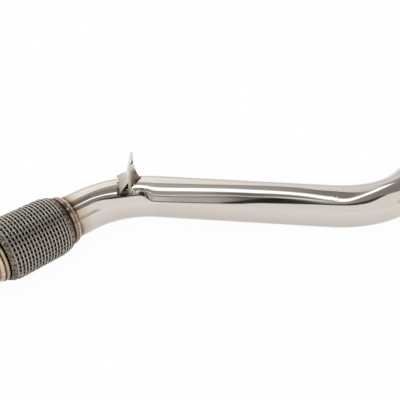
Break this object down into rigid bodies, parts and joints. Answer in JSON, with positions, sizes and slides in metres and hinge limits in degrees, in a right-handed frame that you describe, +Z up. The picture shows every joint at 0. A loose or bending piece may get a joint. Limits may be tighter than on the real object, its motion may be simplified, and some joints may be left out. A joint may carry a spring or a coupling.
{
  "type": "turbo downpipe",
  "caption": "Polished stainless turbo downpipe with two bends, a woven flex coupling, a V-band inlet flange and a folded hanger bracket.",
  "frame": {"origin": "middle of the bounding box's footprint, on the floor that the pipe rests on", "axes": "+X along the straight run from the flex coupling's end to the tail, +Y to the side that the tail turns to, +Z up from the floor it rests on"},
  "size_m": [0.8358, 0.4306, 0.1422],
  "materials": {
    "polished_tube": "polished stainless tube, mirror-like with faint lengthwise streaks",
    "polished_weld": "butt weld polished down to a faint crown",
    "turned_collar": "turned stainless ring with brown and copper heat tint",
    "end_band": "pressed band, satin",
    "tinted_weld": "weld bead with straw, copper and purple heat tint",
    "woven_wire": "stainless wire woven in rings and rows with small dark gaps",
    "bellows_sheet": "thin stainless bellows, bright annealed",
    "liner_strip": "interlocked stainless strip",
    "flange_steel": "turned stainless flange, satin",
    "bracket_sheet": "brushed stainless sheet, 3 mm"
  },
  "bodies": {
    "pipe": {"front_bend": "polished_tube", "long_tube": "polished_tube", "rear_bend": "polished_tube", "front_seam_weld": "polished_weld", "rear_seam_weld": "polished_weld", "rear_collar": "turned_collar", "rear_end_band": "end_band", "rear_collar_weld": "tinted_weld", "hanger_bracket": "bracket_sheet", "left_bracket_weld": "tinted_weld", "right_bracket_weld": "tinted_weld", "leg_bracket_weld": "tinted_weld"},
    "flex_core": {"flex_braid": "woven_wire", "flex_bellows": "bellows_sheet", "flex_liner": "liner_strip"},
    "inlet": {"front_collar": "turned_collar", "front_end_band": "end_band", "front_collar_weld": "tinted_weld", "inlet_tube": "polished_tube", "inlet_flange": "flange_steel", "inlet_flange_weld": "tinted_weld"}
  },
  "joints": [
    {"name": "flex_sideways", "type": "hinge", "parent": "pipe", "child": "flex_core", "pos_m": [-0.30181, -0.08375, 0.05217], "axis": [0.0293, -0.0221, 0.9993], "range_deg": [-8, 8], "stiffness_Nm_per_rad": 250, "deforming": ["flex_braid", "flex_bellows", "flex_liner"]},
    {"name": "flex_up_down", "type": "hinge", "parent": "flex_core", "child": "inlet", "pos_m": [-0.30181, -0.08375, 0.05217], "axis": [0.7981, -0.6014, -0.0366], "range_deg": [-8, 8], "stiffness_Nm_per_rad": 250, "deforming": ["flex_braid", "flex_bellows", "flex_liner"]}
  ]
}
